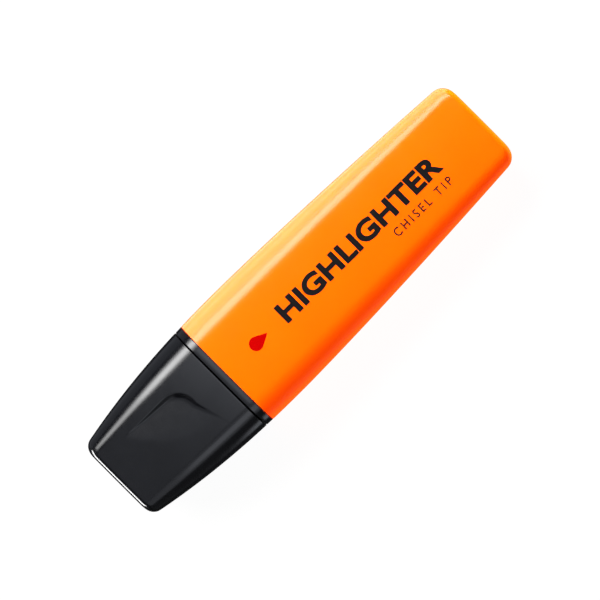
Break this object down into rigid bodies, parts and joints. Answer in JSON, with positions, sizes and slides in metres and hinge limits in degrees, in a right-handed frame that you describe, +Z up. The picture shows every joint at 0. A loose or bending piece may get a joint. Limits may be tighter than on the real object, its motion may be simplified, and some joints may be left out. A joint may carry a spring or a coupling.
{
  "type": "capped highlighter",
  "caption": "Flat wedge-shaped highlighter with a bright orange barrel, a flush collar and a black pull-off cap with a thumb recess over a chisel nib, lying on its back face.",
  "frame": {"origin": "on the resting surface, under the centre of the pen's bounding box, with the barrel's flat back face down", "axes": "+X along the pen from the cap towards the barrel's end, +Y across the broad faces, +Z up out of the front face"},
  "size_m": [0.1052, 0.027, 0.017],
  "materials": {
    "barrel_plastic": "semi-gloss moulded polypropylene, fluorescent orange",
    "black_plastic": "satin moulded polypropylene, black",
    "liner_plastic": "satin natural polyethylene",
    "nib_fibre": "bonded fibre soaked with orange ink",
    "reservoir_fibre": "bundled fibre soaked with orange ink",
    "clear_film": "clear thin film"
  },
  "bodies": {
    "barrel": {"barrel": "barrel_plastic", "end_plug": "barrel_plastic", "front_section": "black_plastic", "nib": "nib_fibre", "ink_reservoir": "reservoir_fibre", "reservoir_wrap": "clear_film"},
    "cap": {"cap": "black_plastic", "inner_cap": "liner_plastic"}
  },
  "joints": [
    {"name": "cap_slide", "type": "slide", "parent": "barrel", "child": "cap", "axis": [-0.9997, 0, 0.0236], "range_m": [0, 0.045]}
  ]
}
